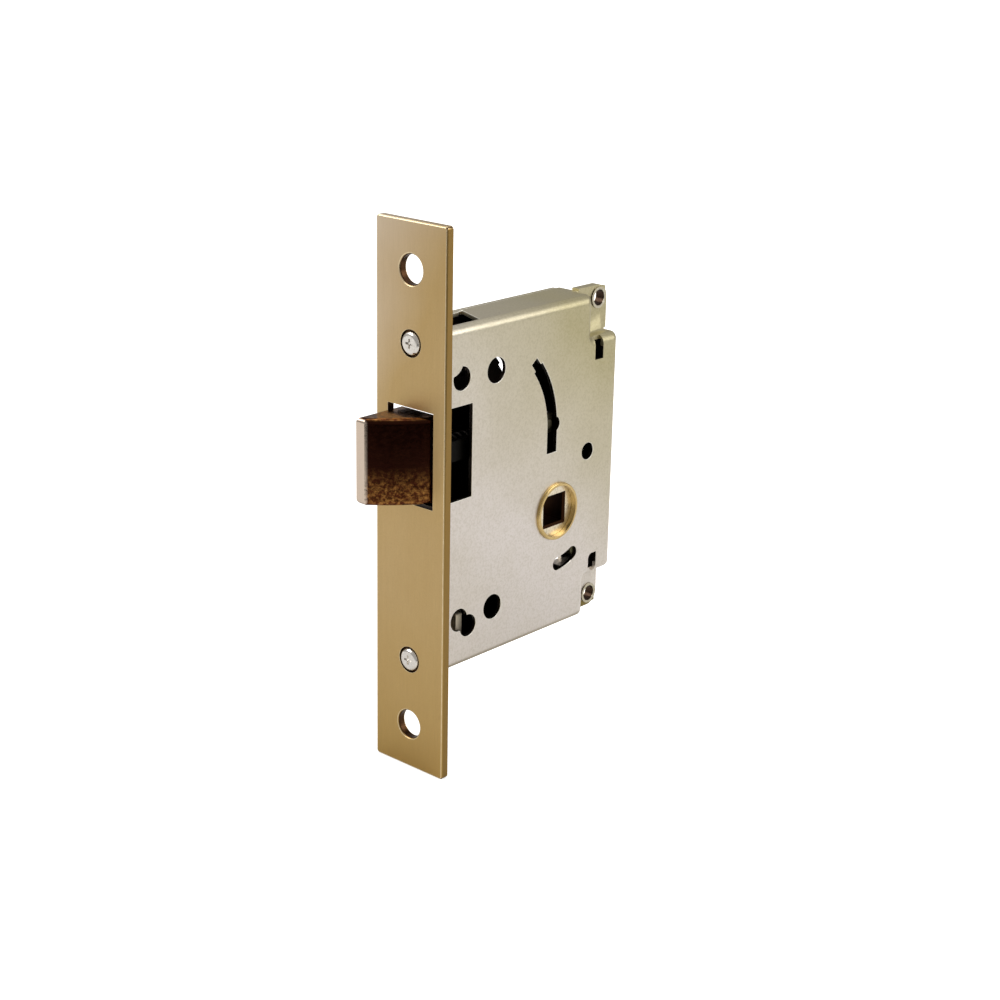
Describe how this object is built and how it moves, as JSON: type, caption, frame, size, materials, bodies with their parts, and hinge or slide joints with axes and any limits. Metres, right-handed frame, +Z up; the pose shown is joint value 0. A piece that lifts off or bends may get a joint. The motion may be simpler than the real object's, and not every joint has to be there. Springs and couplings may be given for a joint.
{
  "type": "mortise latch lock",
  "caption": "Mortise latch lock: flat forend, pressed steel case, bevelled spring latch head drawn back by a square spindle hub.",
  "frame": {"origin": "middle of the forend's front face, halfway between its two fixing holes", "axes": "+Z up along the forend, +Y into the door, +X towards the side plate that carries the folded walls"},
  "size_m": [0.025, 0.089, 0.15],
  "materials": {
    "forend": "satin bronze plating, vertical grain",
    "case_steel": "zinc plated pressed steel",
    "cover_steel": "zinc plated pressed steel",
    "bracket_steel": "zinc plated pressed steel",
    "screw_steel": "bright nickel plated",
    "post_steel": "turned steel",
    "eyelet_steel": "zinc plated",
    "bush_brass": "turned brass",
    "hub_metal": "sintered steel, plated",
    "latch_bronze": "polished bronze plating",
    "fork_steel": "zinc plated pressed steel",
    "spring_steel": "spring wire"
  },
  "bodies": {
    "case": {"forend": "forend", "case_screws": "screw_steel", "case_body": "case_steel", "case_cover": "cover_steel", "upper_bracket": "bracket_steel", "lower_bracket": "bracket_steel", "case_posts": "post_steel", "cover_screws": "screw_steel", "ear_eyelets": "eyelet_steel", "latch_guide": "bracket_steel", "latch_spring": "spring_steel", "stop_post": "post_steel", "anchor_post": "post_steel", "near_bush": "bush_brass", "far_bush": "bush_brass", "hub_spring": "spring_steel"},
    "hub": {"hub": "hub_metal"},
    "latch": {"latch_head": "latch_bronze", "latch_fork": "fork_steel", "head_rivets": "post_steel", "cross_pin": "post_steel"}
  },
  "joints": [
    {"name": "hub_turn", "type": "hinge", "parent": "case", "child": "hub", "pos_m": [0, 0.051, -0.012], "axis": [-1, 0, 0], "range_deg": [0, 26.95], "deforming": ["hub_spring"]},
    {"name": "latch_slide", "type": "slide", "parent": "case", "child": "latch", "axis": [0, 1, 0], "range_m": [0, 0.012], "stiffness_N_per_m": 250, "springref_m": -0.012, "deforming": ["latch_spring"]}
  ],
  "couplings": [
    {"joint": "hub_turn", "follows": "latch_slide", "rad_per_m": 39.197}
  ]
}
